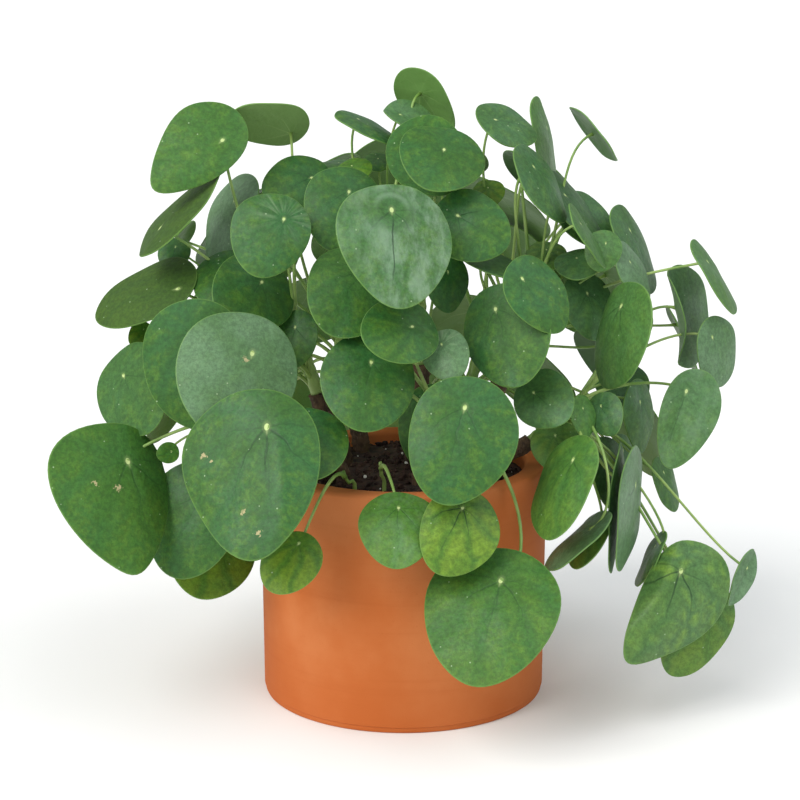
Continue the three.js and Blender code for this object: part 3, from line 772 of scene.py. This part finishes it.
# scale, detail and roughness of each soft noise in a blade
leafGrains = {
    "patches": (34, 4), "mottle": (430, 4, 0.68), "cloud": (210, 3, 0.6), "fine": (1500, 2),
    "veinDrift": (40, 2), "yellowing": (80, 3), "ragged": (560, 3, 0.7), "netDrift": (60, 2),
    "blotches": (42, 2), "creaseDrift": (90, 2), "swell": (120, 2),
}
leafFinish = {
    "roughness": (0.42, 0.60), "dullRoughness": 0.82, "scarRoughness": 0.8, "shine": 0.34,
    "veinStep": 0.41, "veinCurl": 0.42, "veinDrift": 0.8, "groove": (0.001, 0.011), "between": (0.01, 0.11),
    "dot": (0.024, 0.0165), "ring": 0.125, "netScale": 6.5, "netDrift": 0.16, "speckScale": 185,
    "rays": (2.2, 1.7, 5, 0.62), "wrinkles": (4, 7, 9), "wrinkleNoise": (1, 5, 0.66), "ragged": 4.4,
    "creaseDrift": 0.034, "scarMarks": ("scarOne", "scarTwo", "scarThree", "scarFour"),
}


def leafGrain(name):
    return grain(*leafGrains[name])


# a soft noise that swings evenly to both sides of nothing
def drift(name):
    swing = leafFinish[name]
    return calc("MULTIPLY_ADD", leafGrain(name), swing, -swing / 2)


def stalkGreen():
    material, inputs = startMaterial("leafStalk", 0.42)
    blotch = grain(45, 3)
    layers = (ramp(blotch, 0.35, 0.65), "pale"), (ramp(blotch, 0.66, 0.8, 0, 0.5), "brown")
    feed(inputs["Base Color"], layered(stalkColours, stalkColours["green"], *layers))
    feed(inputs["Normal"], bump(grain(700, 2), 0.0002, 0.4))
    return material


def bark():
    material, inputs = startMaterial("barkBrown", 0.85)
    patch = grain(110, 5, 0.65)
    fine = grain(700, 3, 0.6, stretch=(1, 1, 0.35))
    layers = (ramp(patch, 0.35, 0.62), "brown"), (ramp(fine, 0.55, 0.75, 0, 0.7), "grey")
    feed(inputs["Base Color"], layered(barkColours, barkColours["dark"], *layers))
    feed(inputs["Normal"], bump(fine, 0.0006, 0.8, bump(patch, 0.001, 0.6)))
    return material


def readThree(name):
    values = node("Attribute", attribute_name=name).outputs["Vector"]
    return node("SeparateXYZ", {0: values}).outputs


# veins run out from the joint and bend towards the tip; the second value is high in the fields between them
def veinPattern(away, angle, veins):
    finish = leafFinish
    bend = calc("MULTIPLY_ADD", away, -finish["veinCurl"], 1.0)
    straight = calc("DIVIDE", calc("ADD", angle, drift("veinDrift")), bend)
    offVein = times(calc("PINGPONG", straight, finish["veinStep"]), away)
    downwards = ramp(calc("ABSOLUTE", straight), 0.9, 2.0, 1, 0.3)
    fade = times(downwards, ramp(away, 0.08, 0.42, 1, 0.14))
    line = times(ramp(offVein, *finish["groove"], 1, 0), fade, veins)
    return line, ramp(offVein, *finish["between"])


# the leaf's own green: cool near the veins, warmer between them and in soft patches, under a pale film of
# painted sheen
def upperColour(patches, field, tone, olive):
    bright, yellow, pale = tone
    warmth = times(field, ramp(leafGrain("cloud"), 0.40, 0.66, 0.05, 0.55))
    unevenly = ramp(leafGrain("yellowing"), 0.3, 0.62, 0.4, 1)
    yellowing = times(yellow, calc("MULTIPLY_ADD", field, 0.75, 0.35), unevenly)
    paintedSheenFilm = times(pale, ramp(patches, 0.3, 0.7, 1.15, 0.6))
    return layered(
        leafColours, leafColours["cool"], (ramp(patches, 0.35, 0.65), "dark"), (bright, "bright"),
        (warmth, "warm"), (olive, "olive"), (yellowing, "yellow"), (paintedSheenFilm, "pale"),
    )


# fine light and dark mottles, and a few pale specks
def mottled(colour, mottle):
    fine = ramp(leafGrain("fine"), 0.3, 0.7, 0.93, 1.07)
    light = times(ramp(mottle, 0.34, 0.66, 0.82, 1.2), fine)
    colour = mix(1.0, colour, light, "MULTIPLY")
    place = node("TexCoord").outputs["Object"]
    cells = node("TexVoronoi", {"Vector": place, "Scale": leafFinish["speckScale"]})
    chosen = node("SeparateXYZ", {0: cells.outputs["Color"]})
    speck = times(ramp(cells.outputs["Distance"], 0.05, 0.11, 0.75, 0), ramp(chosen, 0.72, 0.76))
    return layered(leafColours, colour, (speck, "speck"))


# painted sheen: whitish rays round the joint, mostly on the blade's short side
def paintedSheenRays(flat, lengthWise, away, chance, paintedStreaks):
    spread, scale, detail, roughness = leafFinish["rays"]
    heading = node("VectorMath", {0: flat}, operation="NORMALIZE")
    depth = node("CombineXYZ", {2: calc("MULTIPLY_ADD", chance, 9.0, away)})
    rays = node("VectorMath", {0: heading, 1: (spread,) * 3, 2: depth}, operation="MULTIPLY_ADD")
    rays = noiseAt(rays, scale, detail, roughness)
    near = times(
        ramp(away, 0.05, 0.12), ramp(away, 0.22, 0.5, 1, 0.15), ramp(lengthWise, -0.08, 0.14, 1, 0.3)
    )
    return times(ramp(rays, 0.44, 0.74, 0, 0.6), near, paintedStreaks)


# painted sheen: a whitish gloss broken by fine wrinkles along the blade, and a painted highlight on a ring
# round the joint
def paintedWrinkledSheen(lengthWise, crossWise, away, chance, paintedSheen):
    sources = (lengthWise, crossWise, chance)
    stretched = [times(source, factor) for source, factor in zip(sources, leafFinish["wrinkles"])]
    wide = noiseAt(node("CombineXYZ", dict(enumerate(stretched))), *leafFinish["wrinkleNoise"])
    sheen = times(
        ramp(wide, 0.34, 0.70, 0, 0.6), ramp(away, 0.10, 0.24), ramp(crossWise, -0.38, 0.10, 0.45, 1)
    )
    offRing = calc("ABSOLUTE", calc("SUBTRACT", away, leafFinish["ring"]))
    ring = times(
        ramp(offRing, 0.0, 0.045, 0.34, 0), ramp(wide, 0.3, 0.6, 0.5, 1), ramp(lengthWise, -0.1, 0.05, 1, 0.2)
    )
    return times(calc("MAXIMUM", sheen, ring), paintedSheen)


# the pale dot where the stalk joins, with a short pale tail along the midrib
def paleDot(lengthWise, crossWise):
    longDot, wideDot = leafFinish["dot"]
    dotLong = calc("DIVIDE", lengthWise, longDot)
    dotWide = calc("DIVIDE", crossWise, wideDot)
    dotPlace = node("CombineXYZ", {0: dotLong, 1: dotWide})
    dotAway = node("VectorMath", {0: dotPlace}, operation="LENGTH").outputs["Value"]
    dot = ramp(dotAway, 0.72, 1.12, 0.95, 0)
    glow = ramp(dotAway, 0.9, 2.2, 0.14, 0)
    tail = ramp(calc("ABSOLUTE", dotWide), 0.1, 0.7, 1, 0)
    tail = times(tail, ramp(dotLong, 0.0, 0.4), ramp(dotLong, 0.8, 2.7, 0.42, 0))
    return calc("MAXIMUM", calc("MAXIMUM", dot, glow), tail)


# dry beige scars on old leaves: each mark holds a place in the blade and a size
def scarSpots(flat):
    ragged = drift("ragged")
    whole = 0.0
    for name in leafFinish["scarMarks"]:
        x, y, size = readThree(name)
        place = node("CombineXYZ", {0: x, 1: y})
        off = node("VectorMath", {0: flat, 1: place}, operation="DISTANCE").outputs["Value"]
        share = calc("ADD", calc("DIVIDE", off, calc("MAXIMUM", size, 1e-6)), ragged)
        whole = calc("MAXIMUM", whole, ramp(share, 0.35, 0.75, 0.9, 0))
    return whole


# soft yellow green blotches inside a net of darker lines, on ageing leaves
def ageing(lengthWise, crossWise, chance, net):
    wander = times(leafGrain("netDrift"), leafFinish["netDrift"])
    place = node("CombineXYZ", {0: lengthWise, 1: crossWise, 2: chance})
    place = node("VectorMath", {0: place, 1: wander}, operation="ADD")
    feeds = {"Vector": place, "Scale": leafFinish["netScale"]}
    edge = node("TexVoronoi", feeds, feature="DISTANCE_TO_EDGE")
    inside = times(ramp(edge, 0.0, 0.55), net, ramp(leafGrain("blotches"), 0.36, 0.64))
    return inside, times(ramp(edge, 0.0, 0.26, 0.16, 0), net)


# a thin dark crease down the midrib
def midribCrease(lengthWise, crossWise, crease):
    line = ramp(calc("ABSOLUTE", calc("ADD", crossWise, drift("creaseDrift"))), 0.001, 0.008, 0.8, 0)
    return times(line, ramp(lengthWise, 0.08, 0.16), ramp(lengthWise, 0.42, 0.66, 1, 0), crease)


def leafGreen():
    finish = leafFinish
    material, inputs = startMaterial("leafBlade", 0.5, **{"Specular IOR Level": finish["shine"]})
    lengthWise, crossWise, reach = readThree("bladePlan")
    tone = readThree("bladeTone")
    upper, chance, olive = readThree("bladeBuild")
    net, veins, crease = readThree("bladeMarks")
    paintedStreaks, paintedSheen, dull = readThree("bladeLook")
    flat = node("CombineXYZ", {0: lengthWise, 1: crossWise})
    away = node("VectorMath", {0: flat}, operation="LENGTH").outputs["Value"]
    groove, field = veinPattern(away, calc("ARCTAN2", crossWise, lengthWise), veins)
    patches = leafGrain("patches")
    mottle = leafGrain("mottle")
    # the upper side
    inside, netLine = ageing(lengthWise, crossWise, chance, net)
    lines = calc("ADD", times(groove, 0.75), netLine)
    colour = upperColour(patches, field, tone, olive)
    colour = mottled(layered(leafColours, colour, (inside, "blotch")), mottle)
    colour = layered(
        leafColours, colour, (lines, "vein"),
        # painted sheen: the whitish rays, in the speck colour, and the wrinkled whitish gloss with its ring
        (paintedSheenRays(flat, lengthWise, away, chance, paintedStreaks), "speck"),
        (paintedWrinkledSheen(lengthWise, crossWise, away, chance, paintedSheen), "paintedSheen"),
        (midribCrease(lengthWise, crossWise, crease), "vein"),
    )
    # paler beneath, with pale veins; the under green is partly the underside's own colour and partly painted
    # light shining through the blade, and the pale share lays painted sheen here too
    beneath = layered(
        leafColours, leafColours["under"], (groove, "underVein"), (times(tone[1], 0.45), "underVein"),
        (tone[2], "pale"),
    )
    # both sides: the rim, the dot and the scars
    colour = mix(ramp(upper, -0.3, 0.3), beneath, colour)
    scar = scarSpots(flat)
    colour = layered(
        leafColours, colour, (ramp(reach, 0.978, 0.998, 0, 0.55), "margin"),
        (paleDot(lengthWise, crossWise), "dot"), (scar, "scar"),
    )
    feed(inputs["Base Color"], colour)

    rough = ramp(patches, 0.3, 0.7, *finish["roughness"])
    rough = mix(dull, rough, (finish["dullRoughness"],) * 3)
    feed(inputs["Roughness"], mix(scar, rough, (finish["scarRoughness"],) * 3))
    # relief: fine skin, soft swelling, and the veins sunk in
    skin = bump(mottle, 0.0004, 0.5)
    swell = bump(leafGrain("swell"), 0.002, 0.35, skin)
    feed(inputs["Normal"], bump(calc("SUBTRACT", 1.0, lines), 0.0005, 0.5, swell))
    return material


# One blade, modelled once and copied for each leaf.
bladeSet = {
    "around": 56, "insets": (0.025, 0.055, 0.09, 0.10, 0.10, 0.10, 0.10, 0.10, 0.10, 0.09, 0.07),
    "thick": 0.024, "rim": 0.0105, "rimSegments": 2, "rimAngle": 60, "millimetres": 0.9,
    "pointPower": 10, "crestPower": 8,
    "dimple": (0.7, 5.0), "quilt": 0.0042, "quiltStep": 0.82, "quiltFade": 0.25, "rimQuiet": 0.7,
    "curl": 0.42, "waves": ((3, 0.012), (5, 0.0072)), "bendSoftness": 2.5,
    "unround": ((2, 0.008), (3, 0.011), (4, 0.004), (5, 0.006)),
}
# a raised ring round the joint and fine ridges beside it, in millimetres
puckerSet = {
    "ring": 1.3, "ringReach": 10, "ringWidth": 3,
    "ridge": 0.5, "ridgeTurn": 0.9, "ridgeReach": 24, "ridgeWidth": 8,
}


def modelBlade():
    form = bladeSet
    blade = addDisc(form["around"], 1)
    for step in form["insets"]:
        bpy.ops.mesh.inset(thickness=step)
    bpy.ops.mesh.poke()
    bpy.ops.object.mode_set(mode="OBJECT")
    wall = blade.modifiers.new("thickness", "SOLIDIFY")
    wall.thickness = form["thick"]
    wall.offset = 0
    rim = blade.modifiers.new("rim", "BEVEL")
    rim.width = form["rim"]
    rim.segments = form["rimSegments"]
    rim.limit_method = "ANGLE"
    rim.angle_limit = math.radians(form["rimAngle"])
    applyAll(blade)
    bpy.ops.object.shade_smooth()
    return blade


def readTemplate(blade):
    spots = np.empty(len(blade.data.vertices) * 3)
    blade.data.vertices.foreach_get("co", spots)
    spots = spots.reshape(-1, 3)
    return {
        "reach": np.hypot(spots[:, 0], spots[:, 1]),
        "angle": np.arctan2(spots[:, 1], spots[:, 0]),
        "level": spots[:, 2] / (bladeSet["thick"] / 2),
    }


# the places of one leaf's points in millimetres, and where each lies in the blade's plan
def shapeLeaf(template, leaf, draw):
    form = bladeSet
    reach, angle, level = template["reach"], template["angle"], template["level"]
    length, width, marks = leaf["length"], leaf["width"], leaf["marks"]
    wobble = [draw.uniform(0, 2 * math.pi) for _ in form["unround"]]
    outline = 1 + sum(
        size * np.sin(turns * angle + start) for (turns, size), start in zip(form["unround"], wobble)
    )
    outline += marks["point"] * np.maximum(0, np.cos(angle)) ** form["pointPower"]
    outline += marks["crest"] * np.maximum(0, -np.cos(angle)) ** form["crestPower"]
    far = reach * (1 + (outline - 1) * reach)
    alongTip = length * (0.5 - leaf["join"] + far * np.cos(angle) / 2)
    narrow = 1 - marks["narrow"] * np.cos(angle)
    over = width * (leaf["side"] * far + far * np.sin(angle) / 2 * narrow)
    away = np.hypot(alongTip, over) / length
    lift = marks["bow"] * width * ((1 - 2 * leaf["join"]) ** 2 - reach ** 2)
    lift += marks["fold"] * np.abs(over) + marks["twist"] * alongTip * over / width
    # relief: a dimple at the joint, soft quilting between the veins, a slow wave near the rim
    depth, spread = form["dimple"]
    lift -= depth * np.exp(-((away * length / spread) ** 2))
    straight = np.arctan2(over, alongTip) / (1 - form["curl"] * np.minimum(away, 1))
    ridge = 0.5 - 0.5 * np.cos(2 * math.pi * straight / form["quiltStep"])
    fadeIn = np.clip(away / form["quiltFade"], 0, 1) ** 2
    fadeOut = 1 - form["rimQuiet"] * reach ** 3
    lift += form["quilt"] * length * marks["quilt"] * ridge * fadeIn * fadeOut
    for (turns, size), start in zip(form["waves"], wobble[2:]):
        lift += size * width * np.sin(turns * angle + start) * reach ** 3
    if "pucker" in marks:
        pucker = puckerSet
        ring = (away * length - pucker["ringReach"]) / pucker["ringWidth"]
        ridges = (over - pucker["ridgeReach"]) / pucker["ridgeWidth"]
        lift += pucker["ring"] * np.exp(-(ring ** 2))
        lift += pucker["ridge"] * np.sin(over * pucker["ridgeTurn"]) * np.exp(-(ridges ** 2))
    if "bentEdge" in marks:
        # past a line through the blade, the rest bends back, or forward where the angle is negative
        heading, start, bend = marks["bentEdge"]
        heading, bend = math.radians(heading), math.radians(bend)
        off = alongTip * math.cos(heading) + over * math.sin(heading) - start
        soft = form["bendSoftness"]
        past = (off + np.hypot(off, soft) + start - math.hypot(start, soft)) / 2
        alongTip -= past * (1 - math.cos(bend)) * math.cos(heading)
        over -= past * (1 - math.cos(bend)) * math.sin(heading)
        lift -= past * math.sin(bend)
    over += marks["sway"] * (np.maximum(0, alongTip) / length) ** 2
    lift += level * form["millimetres"] / 2
    axes = np.array([leaf["tip"], leaf["across"], leaf["face"]])
    spots = np.array(leaf["joint"]) + np.stack([alongTip, over, lift], axis=1) @ axes
    plan = np.stack([alongTip / length, over / length, reach], axis=1)
    return spots, plan


# shares of bright, yellow, pale (a painted sheen) and olive for tones 0 to 5
toneSet = [
    (0, 0, 0, 0), (0.42, 0.05, 0, 0), (0.55, 0.62, 0, 0), (0.1, 0, 0.6, 0), (0.1, 0.05, 0, 0.75),
    (0.2, 0.02, 0, 0),
]
# a leaf with fewer scars holds the rest at size 0, far off the blade
paintSet = {"brightDrift": (-0.08, 0.12), "veins": (0.1, 0.6), "noScar": (9, 9, 0)}


def paintLeaf(mesh, plan, level, leaf, paintedHaze, draw):
    bright, yellow, pale, olive = toneSet[leaf["tone"]]
    marks = leaf["marks"]
    chance = draw.random()
    bright = min(1, max(0, bright + draw.uniform(*paintSet["brightDrift"])))
    yellow = marks.get("yellow", yellow)
    pale = marks.get("pale", min(1, pale + paintedHaze))
    veins = marks.get("veins", draw.uniform(*paintSet["veins"]))
    values = {
        "bladeTone": (bright, yellow, pale),
        "bladeMarks": (marks["patches"], veins, marks["crease"]),
        "bladeLook": (marks["paintedStreaks"], marks["paintedSheen"], marks.get("dull", olive)),
    }
    scars = marks["scars"]
    for i, name in enumerate(leafFinish["scarMarks"]):
        values[name] = np.array(scars[i]) / leaf["length"] if i < len(scars) else paintSet["noScar"]
    count = len(mesh.vertices)
    columns = {name: np.tile(three, (count, 1)) for name, three in values.items()}
    columns["bladePlan"] = plan
    columns["bladeBuild"] = np.stack([level, np.full(count, chance), np.full(count, olive)], axis=1)
    for name, numbers in columns.items():
        column = mesh.attributes.new(name, "FLOAT_VECTOR", "POINT")
        column.data.foreach_set("vector", numbers.astype(float).ravel())


def makeLeaves(stem, leaves, blade, template, material):
    draw = random.Random(stem["name"])
    copies = []
    for leaf in leaves:
        piece = blade.copy()
        piece.data = blade.data.copy()
        scene.collection.objects.link(piece)
        spots, plan = shapeLeaf(template, leaf, draw)
        piece.data.vertices.foreach_set("co", (spots * mm).ravel())
        paintLeaf(piece.data, plan, template["level"], leaf, stem.get("pale", 0), draw)
        piece.data.update()
        copies.append(piece)
    joinPieces(copies)
    finishPiece(bpy.context.object, stem["name"] + "_blades", [stem["name"] + "_leaves"], material)


def makeStalks(stem, leaves, walked, split, material):
    form = stalkSet
    total = walked[1][-1]
    heights = [leaf["joint"].z for leaf in leaves]
    low, high = min(heights), max(heights)
    lines = []
    for leaf in leaves:
        share = (leaf["joint"].z - low) / (high - low) if high > low else 1
        share = between((form["lowest"], form["highest"]), share)
        spring = along(walked, between((split, total), share))
        size = between((form["leastSize"], 1), min(1, leaf["length"] / form["fullLength"]))
        line = []
        for i, place in enumerate(stalkPoints(stem, leaf, spring)):
            s = i / (form["points"] - 1)
            radius = between((form["base"], form["slim"]), min(1, s / form["slimBy"]))
            atJoint = max(0, (s - form["flareFrom"]) / (1 - form["flareFrom"]))
            radius += (form["flare"] - form["slim"]) * atJoint ** 2
            radius += form["collar"] * math.exp(-(s / form["collarLength"]) ** 2)
            line.append((place, radius * size))
        lines.append(line)
    # the green shoot, from a little inside the wood
    start = max(0, split - woodSet["overlap"])
    shoot = []
    for i in range(form["shootPoints"]):
        share = i / (form["shootPoints"] - 1)
        swell = 1 + form["knuckle"] * math.cos(2 * math.pi * i / form["knuckleStep"])
        radius = stem["green"] * swell * (1 - form["shootTaper"] * share ** form["taperPower"])
        shoot.append((along(walked, between((start, total), share)), radius))
    lines.append(shoot)
    stalks = tubePiece(lines, form["aroundLevel"])
    finishPiece(stalks, stem["name"] + "_stalks", [stem["name"] + "_leaves"], material)


def makeWood(stem, walked, split, material):
    form = woodSet
    draw = random.Random(stem["name"] + "wood")
    line = []
    for i in range(form["points"]):
        distance = split * i / (form["points"] - 1)
        ring = max(0, math.cos(distance * 2 * math.pi / form["scarStep"])) ** form["scarPower"]
        uneven = draw.uniform(-form["unevenness"], form["unevenness"])
        radius = stem["girth"] * (form["slim"] + form["scarSwell"] * ring + uneven)
        line.append((along(walked, distance), radius))
    wood = tubePiece([line], form["aroundLevel"])
    for point in wood.data.vertices:
        point.co += point.normal * noise.noise(point.co * form["lumpScale"]) * form["lump"]
    finishPiece(wood, stem["name"] + "_wood", [stem["name"] + "_stem"], material)


shareFarLeaves()
bladeTemplate = modelBlade()
templateValues = readTemplate(bladeTemplate)
leafMaterial, stalkMaterial, barkMaterial = leafGreen(), stalkGreen(), bark()
for stem in stems:
    stemLeaves = [readLeaf(row) for row in leafRows[stem["name"]]]
    walkedLine = walk(stemLine(stem))
    splitAt = max(0, walkedLine[1][-1] - stem["shoot"])
    makeLeaves(stem, stemLeaves, bladeTemplate, templateValues, leafMaterial)
    makeStalks(stem, stemLeaves, walkedLine, splitAt, stalkMaterial)
    if splitAt > 0:
        makeWood(stem, walkedLine, splitAt, barkMaterial)
bpy.data.objects.remove(bladeTemplate)
clearSelection()
print("plant grown")
